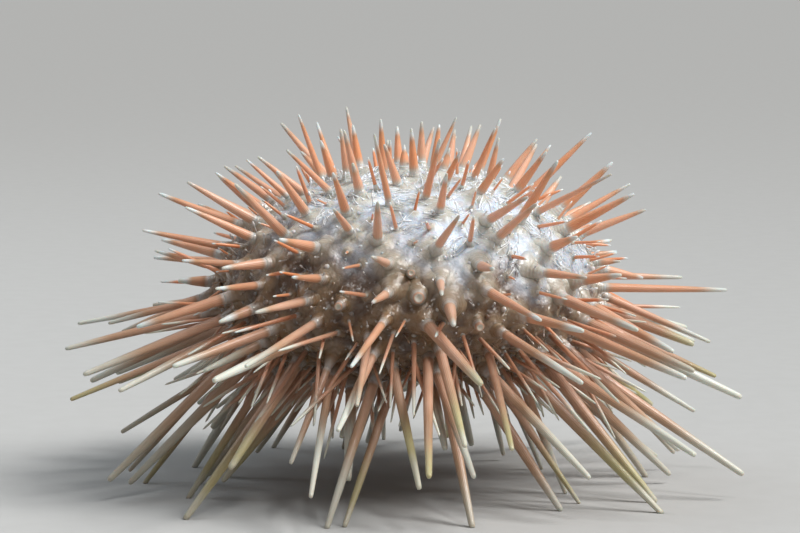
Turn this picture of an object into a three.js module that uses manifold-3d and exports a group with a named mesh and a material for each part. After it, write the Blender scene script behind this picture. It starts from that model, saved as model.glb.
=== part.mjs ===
// Whole sea urchin, standing on the spines of its underside. Millimetres, angles in degrees, +Z up.
// The origin is on the floor, below the middle of the shell; the front is -Y.
import * as THREE from 'three';
import * as BufferGeometryUtils from 'three/addons/utils/BufferGeometryUtils.js';
import Module from 'manifold-3d';

const { degToRad, smoothstep, clamp, lerp } = THREE.MathUtils;

// ---------------------------------------------------------------- shell

// Two half ellipsoids that meet at the widest part, a high crown and a flatter base.
const SHELL_RADIUS = 23.5;
const CROWN_RISE = 14.8;
const BASE_DEPTH = 10.8;
const WIDEST_HEIGHT = 24.6;
const SHELL_SIDES = 26;
const SHELL_BANDS = 11;

// The mouth side: a sunken skin inside the shell's lip, and five teeth that close in its middle.
const LIP_ANGLE = 156;
const MOUTH_SKIN_RADIUS = 8.2;
const MOUTH_SKIN_RISE = 1.3;
const JAW_RADIUS = 4.2;
const JAW_RISE = 0.3;
const TOOTH_COUNT = 5;
const TOOTH_LENGTH = 4.6;
const TOOTH_RADIUS = 1.1;
const TOOTH_SIDES = 4;
const TOOTH_CIRCLE = 1.5;
const TOOTH_OVERLAP = 1.4;
const TOOTH_LEAN = 16;

// ---------------------------------------------------------------- where the spines stand

// Five rays of four columns each; a column's angle is measured from the middle of its ray.
const RAYS = 5;
const RAY_COLUMNS = [-27, -8, 8, 27];
const RAY_PHASE = 36;
const COLUMN_SCATTER = 12;

// Rows go down from the top; they crowd where the shell is flat, so that steps along it stay alike.
const ROWS = 18;
const FIRST_ROW_ANGLE = 7;
const LAST_ROW_ANGLE = 152;
const ROW_CROWDING = 0.42;
const ROW_SCATTER = 0.35;

// Least distance between neighbouring feet, and the polar angles over which it changes.
const CROWN_GAP = 3.1;
const SIDE_GAP = 2.05;
const MOUTH_GAP = 3.4;
const GAP_CROWN_TO_SIDE = [60, 100];
const GAP_SIDE_TO_MOUTH = [128, 140];

// ---------------------------------------------------------------- how the spines grow

// A spine points further outward than the shell's polar angle, by less below the widest part.
const SPLAY = 1.12;
const FLARE = 0.35;
const FLARE_START = 95;
const SPINE_LEAN = 0.3;

const APEX_LENGTH = 6.8;
const CROWN_LENGTH = 10.5;
const SIDE_LENGTH = 24.5;
const MOUTH_LENGTH = 9;
const LENGTH_APEX_TO_CROWN = [5, 50];
const LENGTH_CROWN_TO_SIDE = [75, 112];
const LENGTH_SIDE_TO_MOUTH = [140, 154];

// Spines vary about their typical length, and a few that broke off are still growing back.
const LEAST_LENGTH_SHARE = 0.68;
const LENGTH_SHARE_RANGE = 0.58;
const REGROWN_SHARE = 0.1;
const REGROWN_LENGTH_SHARE = 0.55;

const APEX_SPINE_RADIUS = 0.49;
const SIDE_SPINE_RADIUS = 0.6;
const RADIUS_APEX_TO_SIDE = [20, 95];
const LEAST_RADIUS_SHARE = 0.8;
const RADIUS_SHARE_RANGE = 0.5;

// A tip's radius as a share of its spine's: slender on the crown, blunt on the sides and below.
const CROWN_TIP_SHARE = 0.38;
const SIDE_TIP_SHARE = 0.54;
const TIP_CROWN_TO_SIDE = [60, 110];
const LEAST_TIP_SHARE = 0.9;
const TIP_SHARE_RANGE = 0.2;

// Furthest that a tip reaches from the axis, and how deep a standing spine goes before its cut.
const REACH = 43;
const FOOT_SINK = 0.12;

// Spines swing apart until this much air is left between them, their lowest stretch excepted.
const SPINE_CLEARANCE = 0.35;
const SETTLE_ROUNDS = 40;
const FREE_ROOT_SHARE = 0.12;
const SHORTEST_LEVER = 0.3;

// Each spine stands in a fleshy cone.
const SPINE_SIDES = 5;
const SPINE_ROOT = 1.1;
const CONE_FLARE = 1.85;
const CONE_HEIGHT = 2.2;
const CONE_HEIGHT_SHARE = 0.4;

const SEED = 52;
const TINY = 1e-6;

// A repeatable draw between 0 and 1 for one spine and one of its properties, the usual sine hash.
const DRAWN = { row: 1, column: 2, length: 3, regrown: 4, radius: 5, tip: 6, lean: 7, leanSide: 8 };
function draw(index, property) {
  const value = Math.sin(index * 12.9898 + property * 78.233 + SEED * 37.719) * 43758.5453;
  return value - Math.floor(value);
}

// 0 before a zone of polar angles, 1 after it.
function passed(polar, [from, to]) {
  return smoothstep(polar, from, to);
}

function shellPoint(polar, azimuth) {
  const slope = degToRad(polar);
  const turn = degToRad(azimuth);
  const depth = polar < 90 ? CROWN_RISE : BASE_DEPTH;
  const radius = SHELL_RADIUS * Math.sin(slope);
  const height = WIDEST_HEIGHT + depth * Math.cos(slope);
  return new THREE.Vector3(radius * Math.cos(turn), radius * Math.sin(turn), height);
}

// The splayed direction of a spine's place, tilted by a lean towards one side.
function spineDirection(polar, azimuth, lean, leanSide) {
  const slope = degToRad(SPLAY * polar - FLARE * Math.max(polar - FLARE_START, 0));
  const turn = degToRad(azimuth);
  const direction = new THREE.Vector3(
    Math.sin(slope) * Math.cos(turn),
    Math.sin(slope) * Math.sin(turn),
    Math.cos(slope),
  );
  const east = new THREE.Vector3(-Math.sin(turn), Math.cos(turn), 0);
  const north = direction.clone().cross(east);
  direction.addScaledVector(east, lean * Math.cos(leanSide));
  direction.addScaledVector(north, lean * Math.sin(leanSide));
  return direction.normalize();
}

// Least distance that a foot keeps to its neighbours.
function gapAt(polar) {
  const upper = lerp(CROWN_GAP, SIDE_GAP, passed(polar, GAP_CROWN_TO_SIDE));
  return upper + (MOUTH_GAP - SIDE_GAP) * passed(polar, GAP_SIDE_TO_MOUTH);
}

// Length of a spine before its own scatter.
function typicalLength(polar) {
  const crown = lerp(APEX_LENGTH, CROWN_LENGTH, passed(polar, LENGTH_APEX_TO_CROWN));
  const side = crown + (SIDE_LENGTH - CROWN_LENGTH) * passed(polar, LENGTH_CROWN_TO_SIDE);
  return lerp(side, MOUTH_LENGTH, passed(polar, LENGTH_SIDE_TO_MOUTH));
}

// Every place of the five rays where a spine could stand, from the top down.
function places() {
  const found = [];
  const columns = RAYS * RAY_COLUMNS.length;
  for (let row = 0; row < ROWS; row++) {
    for (let column = 0; column < columns; column++) {
      const index = row * columns + column;
      const stagger = 0.5 * (column % 2) + ROW_SCATTER * (draw(index, DRAWN.row) - 0.5);
      const part = (row + stagger) / ROWS;
      const crowding = (ROW_CROWDING * Math.sin(2 * Math.PI * part)) / (2 * Math.PI);
      const polar = lerp(FIRST_ROW_ANGLE, LAST_ROW_ANGLE, part - crowding);
      const ray = Math.floor(column / RAY_COLUMNS.length) * (360 / RAYS);
      const inRay = RAY_COLUMNS[column % RAY_COLUMNS.length];
      const scatter = COLUMN_SCATTER * (draw(index, DRAWN.column) - 0.5);
      const azimuth = RAY_PHASE + ray + inRay + scatter;
      found.push({ index, polar, azimuth, foot: shellPoint(polar, azimuth) });
    }
  }
  return found;
}

// Keeps the places, in order, that stand clear of those kept so far.
function keepApart(candidates) {
  const feet = [];
  return candidates.filter(({ foot, polar }) => {
    const free = feet.every((other) => other.distanceTo(foot) >= gapAt(polar));
    if (free) feet.push(foot);
    return free;
  });
}

function growSpine({ index, polar, azimuth, foot }) {
  const regrown = draw(index, DRAWN.regrown) < REGROWN_SHARE ? REGROWN_LENGTH_SHARE : 1;
  const lengthShare = LEAST_LENGTH_SHARE + LENGTH_SHARE_RANGE * draw(index, DRAWN.length);
  const typicalRadius = lerp(APEX_SPINE_RADIUS, SIDE_SPINE_RADIUS, passed(polar, RADIUS_APEX_TO_SIDE));
  const radius = typicalRadius * (LEAST_RADIUS_SHARE + RADIUS_SHARE_RANGE * draw(index, DRAWN.radius));
  const typicalTip = lerp(CROWN_TIP_SHARE, SIDE_TIP_SHARE, passed(polar, TIP_CROWN_TO_SIDE));
  const tipShare = typicalTip * (LEAST_TIP_SHARE + TIP_SHARE_RANGE * draw(index, DRAWN.tip));
  const lean = SPINE_LEAN * Math.sqrt(draw(index, DRAWN.lean));
  const leanSide = 2 * Math.PI * draw(index, DRAWN.leanSide);
  return {
    foot,
    direction: spineDirection(polar, azimuth, lean, leanSide),
    fullLength: typicalLength(polar) * lengthShare * regrown,
    radius,
    tipRadius: radius * tipShare,
  };
}

// A spine ends just under the floor, or where it comes to its furthest reach from the axis.
function trimmedLength({ foot, direction, fullLength }) {
  const toFloor = direction.z < -TINY ? (foot.z + FOOT_SINK) / -direction.z : Infinity;
  const a = direction.x ** 2 + direction.y ** 2;
  const b = 2 * (foot.x * direction.x + foot.y * direction.y);
  const c = foot.x ** 2 + foot.y ** 2 - REACH ** 2;
  const toReach = (-b + Math.sqrt(Math.max(b * b - 4 * a * c, 0))) / Math.max(2 * a, TINY);
  return Math.min(fullLength, toFloor, toReach);
}

// Where two spines come nearest each other, as shares of their lengths.
function nearestShares(first, second) {
  const alongFirst = first.tip.clone().sub(first.foot);
  const alongSecond = second.tip.clone().sub(second.foot);
  const between = first.foot.clone().sub(second.foot);
  const a = alongFirst.lengthSq();
  const b = alongFirst.dot(alongSecond);
  const c = alongSecond.lengthSq();
  const d = alongFirst.dot(between);
  const e = alongSecond.dot(between);
  const spread = a * c - b * b;
  const guess = spread > TINY ? clamp((b * e - c * d) / spread, 0, 1) : 0;
  const onSecond = clamp((b * guess + e) / c, 0, 1);
  const onFirst = clamp((b * onSecond - d) / a, 0, 1);
  return [onFirst, onSecond];
}

// How far the first spine's tip gives way to the second spine.
function pushFrom(first, second) {
  const [onFirst, onSecond] = nearestShares(first, second);
  const nearest = second.foot.clone().lerp(second.tip, onSecond);
  const apart = first.foot.clone().lerp(first.tip, onFirst).sub(nearest);
  const distance = Math.max(apart.length(), TINY);
  const firstRadius = lerp(first.radius, first.tipRadius, onFirst);
  const secondRadius = lerp(second.radius, second.tipRadius, onSecond);
  const lacking = firstRadius + secondRadius + SPINE_CLEARANCE - distance;
  if (lacking <= 0 || onFirst < FREE_ROOT_SHARE) return new THREE.Vector3();
  return apart.multiplyScalar((0.5 * lacking) / Math.max(onFirst, SHORTEST_LEVER) / distance);
}

// Swings spines that would touch away from each other, all at once and a few times over.
function settle(spines) {
  for (let round = 0; round < SETTLE_ROUNDS; round++) {
    for (const spine of spines) {
      spine.length = trimmedLength(spine);
      spine.tip = spine.foot.clone().addScaledVector(spine.direction, spine.length);
    }
    for (const spine of spines) {
      spine.push = new THREE.Vector3();
      for (const other of spines) {
        if (other !== spine) spine.push.add(pushFrom(spine, other));
      }
    }
    for (const spine of spines) {
      spine.direction = spine.tip.clone().add(spine.push).sub(spine.foot).normalize();
    }
  }
  for (const spine of spines) {
    spine.length = trimmedLength(spine);
  }
  return spines;
}

// ---------------------------------------------------------------- solids

const wasm = await Module();
wasm.setup();

function toSolid(geometry) {
  const bare = geometry.clone();
  bare.deleteAttribute('normal');
  bare.deleteAttribute('uv');
  const merged = BufferGeometryUtils.mergeVertices(bare, 1e-5);
  const mesh = new wasm.Mesh({
    numProp: 3,
    vertProperties: new Float32Array(merged.attributes.position.array),
    triVerts: new Uint32Array(merged.index.array),
  });
  return new wasm.Manifold(mesh);
}

function toGeometry(solid) {
  const mesh = solid.getMesh();
  const geometry = new THREE.BufferGeometry();
  geometry.setAttribute('position', new THREE.BufferAttribute(mesh.vertProperties, 3));
  geometry.setIndex(new THREE.BufferAttribute(mesh.triVerts, 1));
  geometry.computeVertexNormals();
  return geometry;
}

// Turns a profile of [radius, height] pairs, from the bottom up, about the Y axis.
function lathe(profile, sides) {
  const points = profile.map(([radius, height]) => new THREE.Vector2(radius, height));
  return new THREE.LatheGeometry(points, sides);
}

function shellSolid() {
  const profile = [];
  for (let band = 0; band < SHELL_BANDS; band++) {
    const point = shellPoint(lerp(LIP_ANGLE, 0, band / SHELL_BANDS), 0);
    profile.push([point.x, point.z]);
  }
  const lipHeight = profile[0][1];
  const mouth = [
    [0, lipHeight + JAW_RISE],
    [JAW_RADIUS, lipHeight + JAW_RISE],
    [MOUTH_SKIN_RADIUS, lipHeight + MOUTH_SKIN_RISE],
  ];
  const top = [0, WIDEST_HEIGHT + CROWN_RISE];
  return toSolid(lathe([...mouth, ...profile, top], SHELL_SIDES).rotateX(Math.PI / 2));
}

// A spine rises out of its fleshy cone, tapers evenly and ends blunt.
function spineSolid({ foot, direction, length, radius, tipRadius }) {
  const profile = [
    [0, -SPINE_ROOT],
    [radius * CONE_FLARE, -SPINE_ROOT],
    [radius, Math.min(CONE_HEIGHT, CONE_HEIGHT_SHARE * length)],
    [tipRadius, length - tipRadius],
    [0, length],
  ];
  const turn = new THREE.Quaternion().setFromUnitVectors(new THREE.Vector3(0, 1, 0), direction);
  const spine = lathe(profile, SPINE_SIDES).applyQuaternion(turn);
  return toSolid(spine.translate(foot.x, foot.y, foot.z));
}

function toothSolid(number) {
  const jawHeight = shellPoint(LIP_ANGLE, 0).z + JAW_RISE;
  const tooth = new THREE.ConeGeometry(TOOTH_RADIUS, TOOTH_LENGTH, TOOTH_SIDES);
  tooth.rotateX(-Math.PI / 2);
  tooth.rotateY(degToRad(TOOTH_LEAN));
  tooth.translate(TOOTH_CIRCLE, 0, jawHeight + TOOTH_OVERLAP - TOOTH_LENGTH / 2);
  tooth.rotateZ((2 * Math.PI * number) / TOOTH_COUNT);
  return toSolid(tooth);
}

function floorSolid() {
  const size = 4 * REACH;
  return toSolid(new THREE.BoxGeometry(size, size, size).translate(0, 0, -size / 2));
}

const spines = settle(keepApart(places()).map(growSpine));
const pieces = [
  shellSolid(),
  ...spines.map(spineSolid),
  ...Array.from({ length: TOOTH_COUNT }, (_, number) => toothSolid(number)),
];
const body = wasm.Manifold.union(pieces).subtract(floorSolid());

const urchin = new THREE.Mesh(
  toGeometry(body),
  new THREE.MeshStandardMaterial({ color: '#c9a48f', roughness: 0.4, metalness: 0 }),
);
urchin.name = 'sea_urchin';

const part = new THREE.Group();
part.add(urchin);

export default part;
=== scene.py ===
"""A whole sea urchin: wet skin, fleshy cones, ribbed spines, thin spines, tube feet, pincers and teeth.

Lengths are in metres, and polar angles and azimuths in degrees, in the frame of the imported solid: the
origin is on the floor below the middle of the shell, +Z is up and the front is -Y. Large spines stand
where the solid's do.
"""
from types import SimpleNamespace

import bpy
import numpy as np
from bpy.props import FloatProperty, FloatVectorProperty, IntProperty, PointerProperty
from mathutils import Color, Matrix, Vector


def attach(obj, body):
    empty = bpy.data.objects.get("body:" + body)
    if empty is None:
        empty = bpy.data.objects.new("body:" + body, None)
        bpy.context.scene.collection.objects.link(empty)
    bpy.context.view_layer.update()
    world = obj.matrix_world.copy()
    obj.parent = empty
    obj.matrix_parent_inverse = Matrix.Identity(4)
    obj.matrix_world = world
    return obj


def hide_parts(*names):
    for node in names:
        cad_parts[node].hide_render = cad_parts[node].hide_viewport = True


bl_info = {
    "name": "Sea Urchin",
    "version": (1, 0, 0),
    "blender": (4, 5, 0),
    "location": "3D View > Sidebar > Sea Urchin",
    "description": "Builds a whole sea urchin's skin, spines, tube feet and teeth around its solid",
    "category": "Object",
}

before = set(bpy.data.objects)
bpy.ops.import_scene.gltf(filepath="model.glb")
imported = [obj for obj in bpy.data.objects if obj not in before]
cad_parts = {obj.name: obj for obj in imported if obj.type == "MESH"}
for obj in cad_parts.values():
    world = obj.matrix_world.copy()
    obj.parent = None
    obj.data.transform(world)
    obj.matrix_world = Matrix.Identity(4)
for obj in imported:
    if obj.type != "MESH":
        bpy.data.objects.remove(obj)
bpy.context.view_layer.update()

BODY = "root"
NODE = "sea_urchin"
MM = 0.001
UP = np.array([0.0, 0.0, 1.0])
EITHER_WAY = (-1, 1)
FULL_TURN = (0, 2 * np.pi)

# The pale crown is tilted a little towards +X, the side of the key light, so every colour measured along
# this axis is painted paler on the right and browner on the left: painted light and shade. What is pale,
# and how high, is measured along this axis.
LIT_SIDE_TILT = np.radians(12)
PALE_AND_LIT_AXIS = (np.sin(LIT_SIDE_TILT), 0, np.cos(LIT_SIDE_TILT))

# ---- where spines stand, and how they grow

# Five rays of four columns each; a column's angle is measured from the middle of its ray. Zones are
# polar angles, and a pair of shares is mixed by where a spine stands or by a draw.
RAYS = 5
RAY_COLUMNS = np.array([-27, -8, 8, 27])
RAY_PHASE = 36
COLUMN_SCATTER = 12
ROWS = 18
FIRST_ROW_ANGLE = 7
LAST_ROW_ANGLE = 152
ROW_CROWDING = 0.42
ROW_SCATTER = 0.35
GAP_CROWN_TO_SIDE = (60, 100)
GAP_SIDE_TO_MOUTH = (128, 140)
LIP_ANGLE = 156
GOLDEN_ANGLE = np.degrees(np.pi * (3 - np.sqrt(5)))

# How large spines splay, and how long and how stout they are.
SPLAY = 1.12
FLARE = 0.35
FLARE_START = 95
SPINE_LEAN = 0.3
LENGTH_APEX_TO_CROWN = (5, 50)
LENGTH_CROWN_TO_SIDE = (75, 112)
LENGTH_SIDE_TO_MOUTH = (140, 154)
LENGTH_SHARES = (0.68, 1.26)
REGROWN_SHARE = 0.1
REGROWN_LENGTH_SHARE = 0.55
RADIUS_APEX_TO_SIDE = (20, 95)
RADIUS_SHARES = (0.8, 1.3)
TIP_CROWN_TO_SIDE = (60, 110)
TIP_SHARES_BY_PLACE = (0.38, 0.54)
TIP_SHARES_BY_DRAW = (0.9, 1.1)
FOOT_SINK = 0.12 * MM

# How spines that would touch swing apart; their roots may stand closer.
SPINE_CLEARANCE = 0.35 * MM
SETTLE_ROUNDS = 40
FREE_ROOT_SHARE = 0.12
SHORTEST_LEVER = 0.3
SEED = 52
TINY = 1e-9
NEARLY_UPRIGHT = 0.9

# The sleeve that a large spine stands in.
CONE_CROWN_TO_SIDE = (35, 85)
CONE_SHARES_BY_PLACE = (0.6, 1.1)
CONE_SHARES_BY_DRAW = (0.7, 1.3)
LONGEST_CONE_SHARE = 0.35

# Thin spines. Their size is a draw to a power, so that small ones are common on the crown.
THIN_PLACES = 2400
THIN_CROWN_TO_SIDE = (70, 115)
THIN_POWERS = (1.8, 0.9)
THIN_LENGTH_SHARES = (0.35, 1)
THIN_MOUTH_SHARES = (1, 0.6)
THIN_RADIUS_SHARES = (0.5, 1)
THIN_CONE_SHARES = (0.6, 1.3)
THIN_CONE_HEIGHT = 0.8 * MM
THIN_LEAN = 0.5

# Spines of the front that have snapped off: polar angle, azimuth and radius in millimetres.
SNAPPED = np.array([[82, -87, 0.7], [96, -70, 0.55], [72, -89, 0.42], [86, -109, 0.5]])
SNAPPED_CONE_HEIGHT = 1.55 * MM

# How far and how high the skin is drawn up round a spine.
LARGE_MOUND_HEIGHT = 1.2 * MM
LARGE_MOUND_SPREAD = 3.5 * MM
THIN_MOUND_HEIGHT = 0.5 * MM
THIN_MOUND_SPREAD = 1.25 * MM
SNAPPED_MOUND_HEIGHT = 0.6 * MM
SNAPPED_MOUND_SPREAD = 2.4 * MM

# Each kind of piece draws with numbers of its own.
FIRST_THIN, FIRST_BUNCH, FIRST_PINCER, FIRST_GRAIN = 1000, 5000, 9000, 13000
FIRST_THREAD, FIRST_SNAPPED = 20000, 40000

# What is drawn for each spine, foot or bump; the first eight are the solid's own.
ROW, COLUMN, LENGTH, REGROWN, RADIUS, TIP, LEAN, LEAN_SIDE, TINT, BEND, BEND_SIDE, KIND = range(1, 13)


def draw(index, trait):
    """A repeatable draw between 0 and 1: what follows the point in a large multiple of a sine."""
    value = np.sin(index * 12.9898 + trait * 78.233 + SEED * 37.719) * 43758.5453
    return value - np.floor(value)


def drawn(pair, index, trait):
    """A repeatable draw between the two numbers of a pair."""
    return mix(*pair, draw(index, trait))


def passed(value, zone):
    """0 before a zone, 1 after it, and the smooth step 3x^2 - 2x^3 inside."""
    share = np.clip((value - zone[0]) / (zone[1] - zone[0]), 0, 1)
    return share * share * (3 - 2 * share)


def mix(start, end, share):
    """What lies at a share of the way from a start to an end."""
    return start + (end - start) * share


def unit(vectors):
    """Vectors divided by their lengths."""
    return vectors / np.linalg.norm(vectors, axis=-1, keepdims=True)


def sideways(directions):
    """Two directions square to each given one and to each other."""
    helper = np.where(np.abs(directions[..., 2:]) < NEARLY_UPRIGHT, UP, (1.0, 0.0, 0.0))
    across = unit(np.cross(helper, directions))
    return across, np.cross(directions, across)


def turned(first, second, angle):
    """A direction turned by an angle from the first of two that are square towards the second."""
    return np.cos(angle) * first + np.sin(angle) * second


def level_way(azimuth):
    """The level direction out of the axis at an azimuth."""
    turn = np.radians(azimuth)
    return np.stack([np.cos(turn), np.sin(turn), np.zeros_like(turn)], axis=-1)


def linear(code):
    """Linear red, green and blue of an sRGB hex code."""
    srgb = [int(code[start:start + 2], 16) / 255 for start in (1, 3, 5)]
    return [share / 12.92 if share <= 0.04045 else ((share + 0.055) / 1.055) ** 2.4 for share in srgb]


# ---- what a user may change


def number(name, description, default, **limits):
    """A setting that holds a number."""
    return FloatProperty(name=name, description=description, default=default, **limits)


def size(name, description, millimetres):
    """A setting that holds a length, given here in millimetres."""
    return number(name, description, millimetres * MM, min=0, unit="LENGTH", precision=5)


def colour(name, description, code):
    """A setting that holds a colour, given here as an sRGB hex code."""
    return FloatVectorProperty(
        name=name, description=description, default=linear(code), subtype="COLOR", min=0, max=1
    )


class UrchinSizes(bpy.types.PropertyGroup):
    """Sizes of the shell and of what grows on it."""

    shell_radius: size("Shell radius", "Half the shell's widest diameter", 23.5)
    crown_rise: size("Crown rise", "From the shell's widest part up to its top", 14.8)
    base_depth: size("Base depth", "From the shell's widest part down to where its base would close", 10.8)
    widest_height: size("Widest height", "From the floor up to the shell's widest part", 24.6)
    mouth_skin_radius: size("Mouth skin radius", "Radius of the sunken skin round the jaws", 8.2)
    mouth_skin_rise: size("Mouth skin rise", "How far the edge of the mouth skin is sunk", 1.3)
    jaw_radius: size("Jaw radius", "Radius of the lips round the teeth", 4.2)
    jaw_rise: size("Jaw rise", "How far the lips are sunk", 0.3)
    crown_gap: size("Crown gap", "Least distance between spines on the crown", 3.1)
    side_gap: size("Side gap", "Least distance between spines on the sides", 2.05)
    mouth_gap: size("Mouth gap", "Least distance between spines by the mouth", 3.4)
    apex_length: size("Apex length", "Length of spines at the top", 6.8)
    crown_length: size("Crown length", "Length of spines on the crown", 10.5)
    side_length: size("Side length", "Length of spines on the sides and below", 24.5)
    mouth_length: size("Mouth length", "Length of spines by the mouth", 9)
    apex_spine_radius: size("Apex spine radius", "Radius of spines at the top", 0.49)
    side_spine_radius: size("Side spine radius", "Radius of spines on the sides", 0.6)
    reach: size("Reach", "Furthest that a tip comes from the axis", 43)
    cone_height: size("Cone height", "Height of the fleshy cone that a large spine stands in", 2.3)
    thin_crown_gap: size("Thin crown gap", "Least distance of a thin crown spine from any other", 2.6)
    thin_side_gap: size("Thin side gap", "Least distance of a thin side spine from any other", 1.6)
    thin_crown_length: size("Thin crown length", "Length of the longest thin spines on the crown", 7)
    thin_side_length: size("Thin side length", "Length of the longest thin spines on the sides", 15.5)
    thin_spine_radius: size("Thin spine radius", "Radius of the stoutest thin spines", 0.34)
    tube_foot_length: size("Tube foot length", "Usual length of a tube foot", 2.6)
    tube_foot_radius: size("Tube foot radius", "Radius of a tube foot's stalk", 0.068)
    pincer_length: size("Pincer length", "Length of a pincer with its stalk", 1.5)
    grain_radius: size("Grain radius", "Radius of the small knobs between spines", 0.26)
    tooth_length: size("Tooth length", "Length of a tooth", 4.6)
    tooth_radius: size("Tooth radius", "Half a tooth's width at its root", 1.1)


class UrchinColours(bpy.types.PropertyGroup):
    """Colours of the skin, the spines and the rest."""

    # From the crown down, the skin's colours are partly its own, partly painted light above and painted
    # shade below.
    skin_above: colour("Skin above", "Whitish skin of the crown", "#d6e0ec")
    skin_middle: colour("Skin middle", "Grey brown skin of the widest part", "#8a6b4a")
    # Painted shade: the dark brown between the mounds.
    valley_shade: colour("Skin valley", "Brown skin between the mounds", "#452a10")
    skin_below: colour("Skin below", "Brown skin of the base", "#3f2a17")
    cone: colour("Cone", "Fleshy cones on the crown", "#bdb9aa")
    cone_below: colour("Cone below", "Fleshy cones from the widest part down", "#876b4d")
    # Also painted on the tops of the sleeves, partly as a painted highlight.
    pearl: colour("Pearl", "Small knobs and films of the skin", "#eceeef")
    spine: colour("Spine", "Shaft of a spine", "#e8a174")
    spine_pale: colour("Spine pale", "Shaft of the palest spines", "#e4bba3")
    spine_low: colour("Spine low", "Shaft of the low spines", "#b9927a")
    spine_turn: colour("Spine turn", "Narrow olive zone where shaft turns to tip", "#a38b68")
    tip_white: colour("Tip white", "Blue white tips of the crown", "#d8e2e2")
    tip_cream: colour("Tip cream", "Greenish cream tips of the sides", "#d3d6c9")
    tip_mustard: colour("Tip mustard", "Olive yellow of a few low tips", "#b3ab72")
    thin_spine: colour("Thin spine", "Shaft of a thin spine", "#dd8f60")
    clear_tissue: colour("Clear tissue", "Tube feet and pincers", "#f1f5f8")
    tooth: colour("Tooth", "Teeth", "#efe9da")
    floor: colour("Floor", "Studio floor", "#b4b4b2")
    sky: colour("Sky", "Pale room round the floor", "#e9eef2")


class UrchinStudio(bpy.types.PropertyGroup):
    """Camera and lights."""

    elevation: number("Elevation", "Camera's height as an angle", np.radians(6), subtype="ANGLE")
    distance: size("Distance", "From the camera to what it aims at", 380)
    aim_height: size("Aim height", "Height above the floor that the camera aims at", 27.7)
    aim_side: number("Aim side", "How far right of the axis it aims", -0.9 * MM, unit="LENGTH")
    lens: number("Lens", "Focal length in millimetres", 135.7, min=1)
    key_strength: number("Key strength", "Watts that the sun gives a square metre", 3.5, min=0)
    fill_power: number("Fill power", "Power of the fill", 0.8, unit="POWER")
    glint_power: number("Glint power", "Power of the lamp that glints on water", 0.6, unit="POWER")
    room_strength: number("Room strength", "Brightness of the room", 0.21, min=0)
    floor_size: IntProperty(name="Floor size", description="Side of the floor in metres", default=12, min=1)


# ---- the shell's form and its spines


def shell_point(sizes, polar, azimuth):
    """Two half ellipsoids that meet at the widest part; polar is measured from the top."""
    slope = np.radians(polar)
    depth = np.where(polar < 90, sizes.crown_rise, sizes.base_depth)
    radius = sizes.shell_radius * np.sin(slope)
    height = sizes.widest_height + depth * np.cos(slope)
    return radius[:, None] * level_way(azimuth) + height[:, None] * UP


def lip_point(sizes):
    """Where the shell ends at the mouth, on the side of +X."""
    return shell_point(sizes, np.array([LIP_ANGLE]), 0.0)[0]


def from_middle(sizes, points):
    """Points from the middle of the shell's widest part, and the shell's three half axes there."""
    reached = points - sizes.widest_height * UP
    depth = np.where(reached[..., 2] > 0, sizes.crown_rise, sizes.base_depth)
    radius = np.full_like(depth, sizes.shell_radius)
    return reached, np.stack([radius, radius, depth], axis=-1)


def outward(sizes, points):
    """The ellipsoids' gradient: each part of a point divided by the square of its half axis."""
    reached, half_axes = from_middle(sizes, points)
    return unit(reached / half_axes**2)


def on_shell(sizes, points):
    """Points moved straight towards or away from the shell's middle until they lie on it."""
    reached, half_axes = from_middle(sizes, points)
    beyond = np.linalg.norm(reached / half_axes, axis=-1, keepdims=True)
    return points + reached * (1 / beyond - 1)


def spine_directions(index, polar, azimuth, most_lean):
    """The splayed direction of each place, tilted by a drawn lean towards a drawn side."""
    slope = np.radians(SPLAY * polar - FLARE * np.maximum(polar - FLARE_START, 0))
    level = level_way(azimuth)
    along = turned(UP, level, slope[:, None])
    east = np.cross(UP, level)
    tilt = turned(east, np.cross(along, east), drawn(FULL_TURN, index, LEAN_SIDE)[:, None])
    lean = most_lean * np.sqrt(draw(index, LEAN))
    return unit(along + lean[:, None] * tilt)


def places(sizes):
    """Every place of the five rays where a large spine could stand, from the top down."""
    columns = RAYS * len(RAY_COLUMNS)
    index = np.arange(ROWS * columns)
    row, column = np.divmod(index, columns)
    stagger = 0.5 * (column % 2) + ROW_SCATTER * (draw(index, ROW) - 0.5)
    part = (row + stagger) / ROWS
    crowding = ROW_CROWDING * np.sin(2 * np.pi * part) / (2 * np.pi)
    polar = mix(FIRST_ROW_ANGLE, LAST_ROW_ANGLE, part - crowding)
    ray, in_ray = np.divmod(column, len(RAY_COLUMNS))
    scatter = COLUMN_SCATTER * (draw(index, COLUMN) - 0.5)
    azimuth = RAY_PHASE + 360 / RAYS * ray + RAY_COLUMNS[in_ray] + scatter
    return index, polar, azimuth


def spiral_places(count, first_index):
    """Even places all over a sphere: equal steps of height, each a golden angle further round."""
    step = np.arange(count)
    polar = np.degrees(np.arccos(1 - 2 * (step + 0.5) / count))
    return first_index + step, polar, step * GOLDEN_ANGLE


def keep_apart(feet, gaps, taken=np.empty((0, 3))):
    """Numbers of the feet, in order, that stand clear of those kept so far and of those taken."""
    standing = np.concatenate([taken, np.full_like(feet, np.inf)])
    for place, (foot, gap) in enumerate(zip(feet, gaps), len(taken)):
        if np.linalg.norm(standing - foot, axis=1).min() >= gap:
            standing[place] = foot
    return np.flatnonzero(np.isfinite(standing[len(taken):, 0]))


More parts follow.
